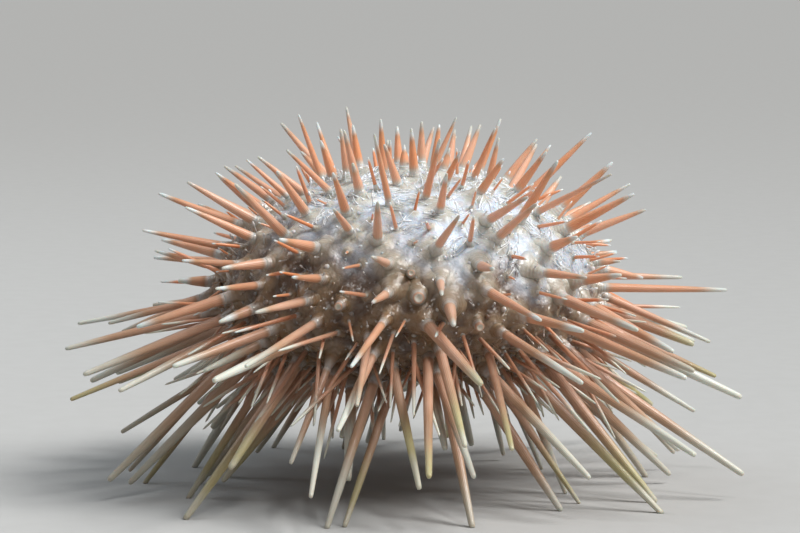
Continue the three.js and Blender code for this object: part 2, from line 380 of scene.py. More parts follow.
def large_spines(sizes):
    """The solid's own spines: the same rule and draws as its source, so that they stand in them."""
    index, polar, azimuth = places(sizes)
    foot = shell_point(sizes, polar, azimuth)
    upper_gap = mix(sizes.crown_gap, sizes.side_gap, passed(polar, GAP_CROWN_TO_SIDE))
    gap = upper_gap + (sizes.mouth_gap - sizes.side_gap) * passed(polar, GAP_SIDE_TO_MOUTH)
    kept = keep_apart(foot, gap)
    index, polar, azimuth, foot = index[kept], polar[kept], azimuth[kept], foot[kept]

    crown = mix(sizes.apex_length, sizes.crown_length, passed(polar, LENGTH_APEX_TO_CROWN))
    side = crown + (sizes.side_length - sizes.crown_length) * passed(polar, LENGTH_CROWN_TO_SIDE)
    typical = mix(side, sizes.mouth_length, passed(polar, LENGTH_SIDE_TO_MOUTH))
    regrown = np.where(draw(index, REGROWN) < REGROWN_SHARE, REGROWN_LENGTH_SHARE, 1)
    full_length = typical * drawn(LENGTH_SHARES, index, LENGTH) * regrown

    stout = mix(sizes.apex_spine_radius, sizes.side_spine_radius, passed(polar, RADIUS_APEX_TO_SIDE))
    radius = stout * drawn(RADIUS_SHARES, index, RADIUS)
    tip_share = mix(*TIP_SHARES_BY_PLACE, passed(polar, TIP_CROWN_TO_SIDE))
    spines = SimpleNamespace(
        index=index,
        foot=foot,
        direction=spine_directions(index, polar, azimuth, SPINE_LEAN),
        full_length=full_length,
        radius=radius,
        tip_radius=radius * tip_share * drawn(TIP_SHARES_BY_DRAW, index, TIP),
    )
    settle(spines, sizes.reach)
    spines.low = passed(polar, LENGTH_CROWN_TO_SIDE)
    grown = drawn(CONE_SHARES_BY_DRAW, index, KIND)
    wanted = sizes.cone_height * grown * mix(*CONE_SHARES_BY_PLACE, passed(polar, CONE_CROWN_TO_SIDE))
    spines.cone_height = np.minimum(wanted, LONGEST_CONE_SHARE * spines.length)
    spines.mound_height = LARGE_MOUND_HEIGHT * radius / sizes.side_spine_radius
    spines.mound_spread = np.full_like(radius, LARGE_MOUND_SPREAD)
    return spines


def trimmed(spines, reach):
    """Lengths that end just under the floor, or where a spine comes to its reach from the axis."""
    foot, direction = spines.foot, spines.direction
    fall = np.maximum(-direction[:, 2], TINY)
    to_floor = (foot[:, 2] + FOOT_SINK) / fall
    a = (direction[:, :2] ** 2).sum(axis=1)
    b = 2 * (foot[:, :2] * direction[:, :2]).sum(axis=1)
    c = (foot[:, :2] ** 2).sum(axis=1) - reach**2
    to_reach = (-b + np.sqrt(np.maximum(b * b - 4 * a * c, 0))) / np.maximum(2 * a, TINY)
    return np.minimum(np.minimum(spines.full_length, to_floor), to_reach)


def pushes(spines, tip):
    """How far each tip gives way to the spines that its own comes too near.

    The nearest points of two segments follow from the products of their two runs and of the line
    between their feet. Half of what is lacking there is made up by swinging each spine about its foot.
    """
    along = tip - spines.foot
    between = spines.foot[:, None] - spines.foot[None]
    a = (along * along).sum(axis=1)[:, None]
    b = along @ along.T
    c = a.T
    d = (along[:, None] * between).sum(axis=-1)
    e = (along[None] * between).sum(axis=-1)
    spread = a * c - b * b
    level = TINY**2
    guess = np.where(spread > level, np.clip((b * e - c * d) / np.maximum(spread, level), 0, 1), 0)
    on_second = np.clip((b * guess + e) / c, 0, 1)
    on_first = np.clip((b * on_second - d) / a, 0, 1)
    nearest = spines.foot[:, None] + on_first[..., None] * along[:, None]
    apart = nearest - (spines.foot[None] + on_second[..., None] * along[None])
    distance = np.maximum(np.linalg.norm(apart, axis=-1), TINY)
    first_radius = mix(spines.radius[:, None], spines.tip_radius[:, None], on_first)
    second_radius = mix(spines.radius[None], spines.tip_radius[None], on_second)
    lacking = np.maximum(first_radius + second_radius + SPINE_CLEARANCE - distance, 0)
    lacking[on_first < FREE_ROOT_SHARE] = 0
    np.fill_diagonal(lacking, 0)
    swing = 0.5 * lacking / np.maximum(on_first, SHORTEST_LEVER) / distance
    return (apart * swing[..., None]).sum(axis=1)


def settle(spines, reach):
    """Swings spines that would touch away from each other, all at once and a few times over."""
    for _ in range(SETTLE_ROUNDS):
        tip = spines.foot + spines.direction * trimmed(spines, reach)[:, None]
        spines.direction = unit(tip + pushes(spines, tip) - spines.foot)
    spines.length = trimmed(spines, reach)


def snapped_spines(sizes):
    """Spines of the front that have snapped off just above their cones."""
    polar, azimuth, millimetres = SNAPPED.T
    index = FIRST_SNAPPED + np.arange(len(SNAPPED))
    radius = millimetres * MM
    return SimpleNamespace(
        index=index,
        foot=shell_point(sizes, polar, azimuth),
        direction=spine_directions(index, polar, azimuth, most_lean=0),
        radius=radius,
        cone_height=np.full_like(radius, SNAPPED_CONE_HEIGHT),
        mound_height=np.full_like(radius, SNAPPED_MOUND_HEIGHT),
        mound_spread=np.full_like(radius, SNAPPED_MOUND_SPREAD),
    )


def thin_spines(sizes):
    """Thin spines fill the places of a golden spiral that the others leave free."""
    index, polar, azimuth = spiral_places(THIN_PLACES, FIRST_THIN)
    foot = shell_point(sizes, polar, azimuth)
    side = passed(polar, THIN_CROWN_TO_SIDE)
    gap = mix(sizes.thin_crown_gap, sizes.thin_side_gap, side)
    taken = np.concatenate([large_spines(sizes).foot, snapped_spines(sizes).foot])
    kept = keep_apart(foot, np.where(polar < LAST_ROW_ANGLE, gap, np.inf), taken)
    index, polar, azimuth, foot, side = (part[kept] for part in (index, polar, azimuth, foot, side))
    stature = draw(index, LENGTH) ** mix(*THIN_POWERS, side)
    longest = mix(sizes.thin_crown_length, sizes.thin_side_length, side)
    by_mouth = mix(*THIN_MOUTH_SHARES, passed(polar, GAP_SIDE_TO_MOUTH))
    thin = SimpleNamespace(
        index=index,
        foot=foot,
        low=side,
        direction=spine_directions(index, polar, azimuth, THIN_LEAN),
        full_length=longest * by_mouth * mix(*THIN_LENGTH_SHARES, stature),
        radius=sizes.thin_spine_radius * mix(*THIN_RADIUS_SHARES, stature),
        cone_height=THIN_CONE_HEIGHT * drawn(THIN_CONE_SHARES, index, KIND),
        mound_height=np.full_like(stature, THIN_MOUND_HEIGHT),
        mound_spread=np.full_like(stature, THIN_MOUND_SPREAD),
    )
    thin.length = trimmed(thin, sizes.reach)
    return thin


def all_spines(sizes):
    """What the skin and the cones need to know of every spine, large, thin or snapped."""
    kinds = large_spines(sizes), thin_spines(sizes), snapped_spines(sizes)
    titles = ("index", "foot", "direction", "radius", "cone_height", "mound_height", "mound_spread")
    joined = {title: np.concatenate([getattr(kind, title) for kind in kinds]) for title in titles}
    return SimpleNamespace(**joined)


# ---- meshes from arrays


def swept(centres, axes, radii, sides, flatness=1.0):
    """Closed tubes carried along paths, one path a row.

    A ring's points are centre + radius * (cos * across + flatness * sin * up), square to its axis. The
    first and the last centre of a path are single points that close it.
    """
    count, stations = radii.shape
    rings = stations - 2
    across, up = sideways(unit(np.broadcast_to(axes, centres.shape)[:, 1:-1]))
    turn = 2 * np.pi * np.arange(sides) / sides
    cosine, sine = np.cos(turn)[:, None], flatness * np.sin(turn)[:, None]
    spokes = cosine * across[:, :, None] + sine * up[:, :, None]
    ring_points = centres[:, 1:-1, None] + radii[:, 1:-1, None, None] * spokes
    points = np.concatenate([centres[:, 0], ring_points.reshape(-1, 3), centres[:, -1]])

    number = count + np.arange(count * rings * sides).reshape(count, rings, sides)
    following = np.roll(number, -1, axis=2)
    quads = np.stack([number[:, :-1], following[:, :-1], following[:, 1:], number[:, 1:]], axis=-1)
    low_pole = np.broadcast_to(np.arange(count)[:, None], (count, sides))
    high_pole = low_pole + count + count * rings * sides
    low_fan = np.stack([low_pole, following[:, 0], number[:, 0]], axis=-1)
    high_fan = np.stack([high_pole, number[:, -1], following[:, -1]], axis=-1)
    faces = [quads.reshape(-1, 4), low_fan.reshape(-1, 3), high_fan.reshape(-1, 3)]
    return SimpleNamespace(points=points, faces=faces, shape=(count, rings, sides))


def stood(feet, directions, stations):
    """Centres at distances from the feet, straight along the directions."""
    return feet[:, None] + directions[:, None] * stations[..., None]


def straight(roots, stations, radii, sides):
    """Tubes that run straight out of their roots, with rings at distances from the feet."""
    return swept(stood(roots.foot, roots.direction, stations), roots.direction[:, None], radii, sides)


def around(tubes):
    """How far round its tube each face corner lies, from 0 to 1, in the order of the faces."""
    count, rings, sides = tubes.shape
    start = np.arange(sides) / sides
    end = start + 1 / sides
    quads = np.broadcast_to(np.stack([start, end, end, start], axis=-1), (count, rings - 1, sides, 4))
    middle = (start + end) / 2
    low_fan = np.broadcast_to(np.stack([middle, end, start], axis=-1), (count, sides, 3))
    high_fan = np.broadcast_to(np.stack([middle, start, end], axis=-1), (count, sides, 3))
    return np.concatenate([quads.ravel(), low_fan.ravel(), high_fan.ravel()])


def at_points(tubes, numbers):
    """A number for each point, from one for each point, for each tube or for each tube's stations."""
    if len(numbers) == len(tubes.points):
        return numbers
    count, rings, sides = tubes.shape
    rows = np.broadcast_to(numbers.reshape(count, -1), (count, rings + 2))
    return np.concatenate([rows[:, 0], rows[:, 1:-1].repeat(sides, axis=1).ravel(), rows[:, -1]])


def new_object(name, data):
    """An object at the origin, in the scene's own collection."""
    thing = bpy.data.objects.new(name, data)
    bpy.context.scene.collection.objects.link(thing)
    return thing


def new_piece(name, tubes, material, values=None, distance=None):
    """A smooth piece at the origin that rides with the urchin.

    values are named numbers that its points keep. distance, where it is given, is how far along its tube
    each station lies, and makes a UV map of the turn round the tube and that distance.
    """
    mesh = bpy.data.meshes.new(name)
    mesh.vertices.add(len(tubes.points))
    mesh.vertices.foreach_set("co", tubes.points.astype(np.float32).ravel())
    corners = np.concatenate([rows.ravel() for rows in tubes.faces])
    sides = np.concatenate([np.full(len(rows), rows.shape[1]) for rows in tubes.faces])
    mesh.loops.add(len(corners))
    mesh.loops.foreach_set("vertex_index", corners.astype(np.int32))
    mesh.polygons.add(len(sides))
    mesh.polygons.foreach_set("loop_start", (np.cumsum(sides) - sides).astype(np.int32))
    mesh.update(calc_edges=True)
    mesh.shade_smooth()
    for title, numbers in (values or {}).items():
        kept = at_points(tubes, numbers).astype(np.float32)
        mesh.attributes.new(title, "FLOAT", "POINT").data.foreach_set("value", kept)
    if distance is not None:
        on_map = np.stack([around(tubes), at_points(tubes, distance)[corners]], axis=-1)
        mesh.uv_layers.new(name="Tube").data.foreach_set("uv", on_map.astype(np.float32).ravel())
    if mesh.validate():
        raise RuntimeError(f"{name} had faces that Blender had to mend")
    mesh.materials.append(material)
    piece = new_object(name, mesh)
    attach(piece, BODY)
    return piece


# ---- the skin

SKIN_SIDES = 420
SKIN_RINGS = 228
PROFILE_STEPS = 400
PROFILE_SOFTENINGS = 8
WAVELENGTHS = MM * np.geomspace(6, 1.2, 24)
WAVE_HEIGHT = 0.09 * MM
WAVE_POWER = 0.65
MOUND_POWER = 1.5
MOUTH_FOLDS = 30
MOUTH_FOLD_HEIGHT = 0.16 * MM
MOUTH_FOLD_TWIST = 900
FOLD_FADE = 1 * MM
PUCKER_RADIUS = 2.4 * MM
PUCKER_HEIGHT = 0.35 * MM


def skin_profile(sizes):
    """Radius and height at even steps from the middle of the mouth out over the lip and up to the top."""
    lip = lip_point(sizes)
    mouth = np.array([
        [0, lip[2] + sizes.jaw_rise],
        [sizes.jaw_radius, lip[2] + sizes.jaw_rise],
        [sizes.mouth_skin_radius, lip[2] + sizes.mouth_skin_rise],
    ])
    shell = shell_point(sizes, np.linspace(LIP_ANGLE, 0, PROFILE_STEPS), 0.0)[:, [0, 2]]
    corners = np.concatenate([mouth, shell])
    walked = np.concatenate([[0], np.cumsum(np.linalg.norm(np.diff(corners, axis=0), axis=1))])
    steps = np.linspace(0, walked[-1], SKIN_RINGS + 2)
    profile = np.stack([np.interp(steps, walked, corners[:, part]) for part in (0, 1)], axis=-1)
    for _ in range(PROFILE_SOFTENINGS):
        profile[1:-1] = (profile[:-2] + 2 * profile[1:-1] + profile[2:]) / 4
    return profile


def mounds(sizes, points):
    """How far the skin is drawn up round spines, and the height's share of its full one.

    A mound's height falls off with the distance d from its foot as (1 - d / spread)^1.5. Where mounds
    meet, their heights combine as the cube root of the sum of their cubes, so that no crease forms.
    """
    spines = all_spines(sizes)
    directions = unit(spines.direction + outward(sizes, spines.foot))
    cubes = np.zeros(len(points))
    heading = np.zeros_like(points)
    fullest = np.zeros(len(points))
    rows = zip(spines.foot, directions, spines.mound_height, spines.mound_spread)
    for foot, direction, height, spread in rows:
        near = np.flatnonzero(np.abs(points - foot).max(axis=1) < spread)
        away = np.linalg.norm(points[near] - foot, axis=1)
        share = np.clip(1 - away / spread, 0, 1) ** MOUND_POWER
        cubes[near] += (height * share) ** 3
        heading[near] += share[:, None] * direction
        fullest[near] = np.maximum(fullest[near], share)
    lengths = np.maximum(np.linalg.norm(heading, axis=1), TINY)
    return heading / lengths[:, None] * np.cbrt(cubes)[:, None], fullest


def ripples(points):
    """A sum of sine waves in many directions; the shorter a wave, the lower, by a power of its length."""
    total = np.zeros(len(points))
    for number, wavelength in enumerate(WAVELENGTHS):
        heading = unit(np.array([draw(number, trait) - 0.5 for trait in (ROW, COLUMN, LENGTH)]))
        height = (wavelength / WAVELENGTHS[0]) ** WAVE_POWER
        phase = drawn(FULL_TURN, number, LEAN)
        total += height * np.sin(2 * np.pi * (points @ heading) / wavelength + phase)
    return WAVE_HEIGHT * total


def living_skin(sizes, points):
    """Moves points of the bare shell out to the skin, and says how far up a mound each one lies."""
    lift, mound = mounds(sizes, points)
    return points + lift + outward(sizes, points) * ripples(points)[:, None], mound


def build_skin(sizes, colours):
    """Skin drawn up round the spines, with small waves, folds round the jaws and a puckered top.

    The folds are a sine of the turn that twists with the radius, and the pucker is a cosine of the radius.
    """
    profile = skin_profile(sizes)
    centres = np.zeros((1, len(profile), 3))
    centres[0, :, 2] = profile[:, 1]
    skin = swept(centres, UP, profile[None, :, 0], SKIN_SIDES)
    bare = skin.points
    radius = np.hypot(bare[:, 0], bare[:, 1])
    turn = np.arctan2(bare[:, 1], bare[:, 0])
    below = bare[:, 2] < sizes.widest_height
    by_jaws = passed(radius, (sizes.jaw_radius / 2, sizes.jaw_radius))
    by_lip = passed(radius, (sizes.mouth_skin_radius, sizes.mouth_skin_radius + FOLD_FADE))
    folds = MOUTH_FOLD_HEIGHT * np.sin(MOUTH_FOLDS * turn + MOUTH_FOLD_TWIST * radius)
    rings = PUCKER_HEIGHT * (np.cos(2 * np.pi * radius / PUCKER_RADIUS) - 1)
    by_top = 1 - passed(radius, (0, PUCKER_RADIUS))
    finer = np.where(below, by_jaws * (1 - by_lip) * folds, by_top * rings)
    raised, mound = living_skin(sizes, bare)
    skin.points = raised + outward(sizes, bare) * finer[:, None]
    piece = new_piece("skin", skin, skin_material(colours), {"mound": mound})
    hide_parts(NODE)


# ---- cones and spines

CONE_SIDES = 14
SPINE_SIDES = 10
THIN_SPINE_SIDES = 6

# A sleeve: its neck as a share of the shaft's radius, and its foot as a share of its own height.
CONE_SUNK = 0.5 * MM
CONE_MOUND = 0.5
NECK_SHARES = (0.25, 0.65)
NECK_ALLOWANCE = 0.03 * MM
NECK_POWER = 1.2
FOOT_SHARES = (0.375, 0.625)
LUMP_SHARE = 0.04
LUMP_TURN = 9
LUMP_PHASES = 40

# A large spine. Pairs run from the crown to the sides, and a tip is so many of its radii long.
SPINE_SUNK = 0.9 * MM
SPINE_BOW = 0.012
RING_BASE = -0.1 * MM
RING_TOP = 0.12 * MM
RING_SHARES = (1.03, 1.19)
RING_STATION = 3
SHAFT_START = 0.5 * MM
SHAFT_STATIONS = (0.4, 0.75)
TAPER_POWERS = (1.25, 1.9)
TIP_LENGTHS = (2.6, 1.5)
SHOULDER_LENGTH = 0.4
SHOULDER_SHARES = (0.64, 0.78)
SHOULDER_STATION = -2
RIB_MAP_LENGTH = 10 * MM

# Where along a spine the pale tip starts, and over what share of its length it sets in. A spine keeps
# how far past that start each ring lies, in such lengths, and how many millimetres above its sleeve.
CROWN_FADES = (0.82, 0.93)
SIDE_FADES = (0.5, 0.86)
FADE_LENGTHS = (0.07, 0.15)
THIN_FADES = (0.9, 0.68)
THIN_FADE_LENGTHS = (0.06, 0.15)
MUSTARD_SHARE = 0.17

# A snapped spine, from its root to the middle of its pit.
SNAPPED_STATIONS = MM * np.array([-0.9, -0.9, 0.24, 0.33, 0.3, 0.18, 0.15])
SNAPPED_SHARES = np.array([0, 1.0, 1.0, 0.88, 0.6, 0.4, 0])
SNAPPED_PITH = np.array([0, 0, 0, 0.3, 0.7, 1, 1])


def build_cones(sizes, colours):
    """Soft sleeves of flesh round the joints of spines.

    A sleeve's radius is the sum of the shaft's and of two parts of the share q of its height: a foot that
    spreads over the skin as (1 - q)^3, and a neck that thins out onto the shaft as (1 - q^2)^1.2. Soft
    lumps along it are a sine of q.
    """
    spines = all_spines(sizes)
    radius, height = spines.radius[:, None], spines.cone_height[:, None]
    tint, bend = draw(spines.index, TINT)[:, None], draw(spines.index, BEND)[:, None]
    q = np.array([0, 0, 0.12, 0.25, 0.42, 0.62, 0.8, 0.93, 0.985, 1.0])
    neck = radius * mix(*NECK_SHARES, tint) + NECK_ALLOWANCE
    spread = height * mix(*FOOT_SHARES, bend)
    radii = radius + neck * (1 - q**2) ** NECK_POWER + spread * (1 - q) ** 3
    lumps = 1 + LUMP_SHARE * np.sin(LUMP_TURN * q + LUMP_PHASES * bend)
    cones = straight(spines, mix(-CONE_SUNK, height, q), radii * lumps, CONE_SIDES)
    up = np.broadcast_to(q, radii.shape)
    values = {"up": up, "mound": mix(CONE_MOUND, 1, up)}
    new_piece("fleshy_cones", cones, cone_material(colours), values)


def build_spines(sizes, colours):
    """Ribbed shafts with a milled ring above the cone and a rounded tip, bowed by the square of the way.

    Above the ring the radius falls by (1 - tip share) * share^power: nearly evenly on the crown, where
    spines are slender and end in a point, and late on the sides, where they stay stout and end blunt.
    """
    large = large_spines(sizes)
    index, length, radius, tip, low = large.index, large.length, large.radius, large.tip_radius, large.low
    cone = large.cone_height
    sunk = np.full_like(length, -SPINE_SUNK)
    start, last = cone + SHAFT_START, length - mix(*TIP_LENGTHS, low) * tip
    shaft = [start, *(mix(start, last, part) for part in SHAFT_STATIONS), last]
    ends = [length - SHOULDER_LENGTH * tip, length]
    stations = np.stack([sunk, sunk, cone + RING_BASE, cone + RING_TOP, *shaft, *ends], axis=1)
    share = np.clip((stations - start[:, None]) / (last - start)[:, None], 0, 1)
    radii = radius[:, None] - (radius - tip)[:, None] * share ** mix(*TAPER_POWERS, low)[:, None]
    radii[:, RING_STATION] *= mix(*RING_SHARES, low)
    radii[:, SHOULDER_STATION] = mix(*SHOULDER_SHARES, low) * tip
    bow = (length * SPINE_BOW * draw(index, BEND))[:, None] * np.maximum(stations / length[:, None], 0) ** 2
    heading = turned(*sideways(large.direction), drawn(FULL_TURN, index, BEND_SIDE)[:, None])
    centres = stood(large.foot, large.direction, stations) + bow[..., None] * heading[:, None]
    spines = swept(centres, large.direction[:, None], radii, SPINE_SIDES)
    spines.points[:, 2] = np.maximum(spines.points[:, 2], 0)

    where = draw(index, REGROWN)
    fade = mix(mix(*CROWN_FADES, where), mix(*SIDE_FADES, where), low)[:, None]
    values = {
        "past": (stations / length[:, None] - fade) / mix(*FADE_LENGTHS, low)[:, None],
        "above": (stations - cone[:, None]) / MM,
        "low": low,
        "tint": draw(index, TINT),
        "mustard": low * (draw(index, KIND) < MUSTARD_SHARE),
    }
    new_piece("spines", spines, spine_material(colours), values, stations / RIB_MAP_LENGTH)


def build_thin_spines(sizes, colours):
    """Straight needles that narrow evenly from the skin to a small round end."""
    thin = thin_spines(sizes)
    part = np.array([0, 0, 0.35, 0.75, 0.97, 1.0])
    stations = mix(-CONE_SUNK, thin.length[:, None], part)
    radii = thin.radius[:, None] * np.array([0, 1.0, 0.95, 0.75, 0.42, 0])
    needles = straight(thin, stations, radii, THIN_SPINE_SIDES)
    needles.points[:, 2] = np.maximum(needles.points[:, 2], 0)
    past = stations / thin.length[:, None] - mix(*THIN_FADES, thin.low)[:, None]
    values = {
        "past": past / mix(*THIN_FADE_LENGTHS, thin.low)[:, None],
        "above": stations / MM,
        "tint": draw(thin.index, TINT),
        "low": thin.low,
    }
    new_piece("thin_spines", needles, thin_spine_material(colours), values)


def build_snapped_spines(sizes, colours):
    """Stubs with a rounded rim and a shallow pit in the middle, where a spine is more porous."""
    stubs = snapped_spines(sizes)
    stations = stubs.cone_height[:, None] + SNAPPED_STATIONS
    broken = straight(stubs, stations, stubs.radius[:, None] * SNAPPED_SHARES, CONE_SIDES)
    values = {"pith": np.broadcast_to(SNAPPED_PITH, stations.shape)}
    new_piece("snapped_spines", broken, snapped_material(colours), values)


# ---- what lies and grows on the skin

THREAD_SIDES = 5
GRAIN_SIDES = 8
TOOTH_SIDES = 12

# Tube feet. Strays are in radians from straight down the slope, and shares are of the usual size.
BUNCH_PLACES = 580
BUNCH_RADIUS = 1.0 * MM
BUNCH_CROWN_HEIGHTS = (31 * MM, 36 * MM)
BUNCH_SIDE_TO_MOUTH = (108, 120)
MOUTH_BUNCH_SHARE = 0.3
STRAY_TOP_TO_CROWN = (25, 60)
BUNCH_STRAYS = (np.pi, 0.9)
THREADS = 9
THREAD_STRAY = 0.32
THREAD_LENGTH_SHARES = (0.6, 1.2)
THREAD_RADIUS_SHARES = (0.6, 1.3)
THREAD_SWING = 0.16
SWING_TURN = 4
SWING_PHASES = 6
THREAD_SUNK = 0.03 * MM
THREAD_LIFT = 0.03 * MM
TALLEST_LIFT = 0.7 * MM
LIFT_POWER = 8
LYING_SHARE = 0.2
ROOTED_PART = 0.1

# Pincers and knobs: how many places there are, and the chance of one on the crown and on the sides.
PINCER_PLACES = 800
PINCER_CHANCES = (0.75, 0.35)
PINCER_SHARES = (0.5, 1.3)
BUD_SHARES = (0.08, 0.13)
GRAIN_PLACES = 900
GRAIN_CHANCES = (1.0, 0.8)
GRAIN_SHARES = (0.5, 1.5)

# A tooth's root from the axis and above the lips, and how far in it bends.
TOOTH_OUT = 2.1 * MM
TOOTH_RISE = 1.4 * MM
TOOTH_BEND = 1.9 * MM
TOOTH_FLATNESS = 0.75


def build_tube_feet(sizes, colours):
    """Fine threads that lie over the skin in bunches, each with a small disc at its end.

    Bunches stand on the pale crown and, fewer, about the mouth. The threads of a bunch start about one
    place and run nearly one way: any way on top, and mostly down the slope further out. At share s of
    its length a thread swings aside as a sine of s, follows the skin, and is its lift times sin(pi s)
    above it. Few threads lift far, as the lift grows with a high power of a draw.
    """
    bunch, polar, azimuth = spiral_places(BUNCH_PLACES, FIRST_BUNCH)
    height = shell_point(sizes, polar, azimuth) @ PALE_AND_LIT_AXIS
    chance = passed(height, BUNCH_CROWN_HEIGHTS) + MOUTH_BUNCH_SHARE * passed(polar, BUNCH_SIDE_TO_MOUTH)
    kept = (draw(bunch, KIND) < chance) & (polar < LAST_ROW_ANGLE)
    owner = np.flatnonzero(kept).repeat(THREADS)
    bunch, polar, azimuth = bunch[owner], polar[owner], azimuth[owner]
    index = FIRST_THREAD + np.arange(len(owner))

    foot = shell_point(sizes, polar, azimuth)
    east = np.cross(UP, level_way(azimuth))
    downhill = np.cross(east, outward(sizes, foot))
    stray = mix(*BUNCH_STRAYS, passed(polar, STRAY_TOP_TO_CROWN)) * drawn(EITHER_WAY, bunch, LEAN_SIDE)
    angle = (stray + THREAD_STRAY * drawn(EITHER_WAY, index, LEAN_SIDE))[:, None]
    ahead, aside = turned(downhill, east, angle), turned(east, -downhill, angle)

    s = np.array([0, 0.02, 0.2, 0.4, 0.6, 0.8, 0.96, 1.0, 1.0])
    stature, own_stature = (drawn(THREAD_LENGTH_SHARES, each, LENGTH) for each in (bunch, index))
    length = sizes.tube_foot_length * (stature * own_stature)
    along, across = (drawn(EITHER_WAY, index, trait)[:, None] for trait in (ROW, COLUMN))
    start = foot + BUNCH_RADIUS * (along * ahead + across * aside)
    reach = (length * THREAD_SWING * draw(index, BEND))[:, None]
    swing = reach * np.sin(SWING_TURN * s + SWING_PHASES * draw(index, BEND_SIDE)[:, None])
    way = stood(start, ahead, length[:, None] * s) + swing[..., None] * aside[:, None]
    bare = on_shell(sizes, way.reshape(-1, 3))
    lying = living_skin(sizes, bare)[0].reshape(way.shape)
    arch = THREAD_LIFT + TALLEST_LIFT * draw(index, LEAN) ** LIFT_POWER
    rooted = np.where(s < ROOTED_PART, -THREAD_SUNK, LYING_SHARE * sizes.tube_foot_radius)
    height = rooted + arch[:, None] * np.sin(np.pi * s)
    centres = lying + height[..., None] * outward(sizes, bare).reshape(way.shape)
    radius = sizes.tube_foot_radius * mix(*THREAD_RADIUS_SHARES, draw(index, RADIUS) ** 2)
    radii = radius[:, None] * np.array([0, 1.2, 1.0, 0.9, 0.9, 0.9, 1.4, 2.2, 0])
    feet = swept(centres, np.gradient(centres, axis=1), radii, THREAD_SIDES)
    new_piece("tube_feet", feet, clear_material(colours))


def rooted_places(sizes, count, first_index, chances):
    """Even places on the living skin, thinned out by a draw, with the way out of the shell at each."""
    index, polar, azimuth = spiral_places(count, first_index)
    chance = mix(*chances, passed(polar, LENGTH_CROWN_TO_SIDE))
    kept = (polar < LAST_ROW_ANGLE) & (draw(index, KIND) < chance)
    bare = shell_point(sizes, polar[kept], azimuth[kept])
    foot, mound = living_skin(sizes, bare)
    return SimpleNamespace(index=index[kept], foot=foot, direction=outward(sizes, bare), mound=mound)


def build_pincers(sizes, colours):
    """Small pincers: a thin stem that leans over and swells into a bud of closed jaws."""
    roots = rooted_places(sizes, PINCER_PLACES, FIRST_PINCER, PINCER_CHANCES)
    heading = turned(*sideways(roots.direction), drawn(FULL_TURN, roots.index, LEAN_SIDE)[:, None])
    roots.direction = unit(roots.direction + draw(roots.index, LEAN)[:, None] * heading)
    part = np.array([-0.1, -0.1, 0.35, 0.62, 0.74, 0.88, 0.97, 1.0])
    stations = (sizes.pincer_length * drawn(PINCER_SHARES, roots.index, LENGTH))[:, None] * part
    bud = sizes.pincer_length * drawn(BUD_SHARES, roots.index, RADIUS)
    radii = bud[:, None] * np.array([0, 0.5, 0.32, 0.4, 1.0, 0.85, 0.4, 0])
    pincers = straight(roots, stations, radii, THREAD_SIDES)
    new_piece("pincers", pincers, clear_material(colours))


def build_grains(sizes, colours):
    """Pearly knobs between the spines: low domes sunk in the skin."""
    roots = rooted_places(sizes, GRAIN_PLACES, FIRST_GRAIN, GRAIN_CHANCES)
    radius = (sizes.grain_radius * mix(*GRAIN_SHARES, draw(roots.index, RADIUS) ** 2))[:, None]
    stations = radius * np.array([-1.0, -1.0, -0.1, 0.5, 0.75])
    radii = radius * np.array([0, 1.0, 1.0, 0.62, 0])
    grains = straight(roots, stations, radii, GRAIN_SIDES)
    new_piece("grains", grains, grain_material(colours), {"mound": roots.mound})


def build_teeth(sizes, colours):
    """Five curved teeth that close in the middle of the mouth.

    A tooth's path bends inwards by a square of the way down, and it narrows evenly to a chisel end.
    """
    level = level_way(360 / RAYS * np.arange(RAYS))
    root = lip_point(sizes)[2] + sizes.jaw_rise + TOOTH_RISE
    down = np.array([0, 0, 0.15, 0.3, 0.45, 0.6, 0.75, 0.88, 0.97, 1.0])
    out = TOOTH_OUT - TOOTH_BEND * down**2
    height = root - sizes.tooth_length * down
    centres = level[:, None] * out[:, None] + UP * height[:, None]
    widths = sizes.tooth_radius * np.array([0, 1, 0.97, 0.92, 0.85, 0.76, 0.64, 0.5, 0.34, 0])
    radii = np.broadcast_to(widths, (RAYS, len(widths)))
    teeth = swept(centres, np.gradient(centres, axis=1), radii, TOOTH_SIDES, TOOTH_FLATNESS)
    new_piece("teeth", teeth, tooth_material(colours))


# ---- materials

# Sockets of the Mix node when it mixes colours.
MIX_SHARE, MIX_BASE, MIX_COAT, MIX_RESULT = 0, 6, 7, 2

# Flesh with light scattered in it, under a clear film of water.
WET_FLESH = {
    "Roughness": 0.32,
    "IOR": 1.45,
    "Subsurface Weight": 0.7,
    "Subsurface Radius": (1.0, 0.6, 0.42),
    "Subsurface Scale": 0.8 * MM,
    "Coat Weight": 1.0,
    "Coat Roughness": 0.05,
    "Coat IOR": 1.5,
}
# Calcite under a thin wet skin: satin, with a little light scattered through it.
WET_CALCITE = {
    "Roughness": 0.4,
    "IOR": 1.5,
    "Subsurface Weight": 0.4,
    "Subsurface Radius": (1.0, 0.6, 0.45),
    "Subsurface Scale": 0.7 * MM,
    "Coat Weight": 0.5,
    "Coat Roughness": 0.14,
    "Coat IOR": 1.33,
}
# Water-filled tissue: as smooth as glass, with sharp small highlights.
CLEAR_TISSUE = {
    "Roughness": 0.12,
    "IOR": 1.36,
    "Coat Weight": 1.0,
    "Coat Roughness": 0.03,
    "Coat IOR": 1.4,
}
MATT_PAINT = {"Roughness": 0.75, "Specular IOR Level": 0.3}

# Real spines carry 16 to 30 ribs; 18 are drawn, as more are lost at arm's length.
RIBS = 18

# A sleeve wrinkles in rings about 0.3 mm apart, much lower than its strands.
SLEEVE_RINGS = 7
RING_WRINKLE = 0.13

# Spines are painted darker towards the floor, as painted shade: the heights where that starts and is full,
# and its cover.
SHADE_BELOW = (19 * MM, -4 * MM, 0.42)


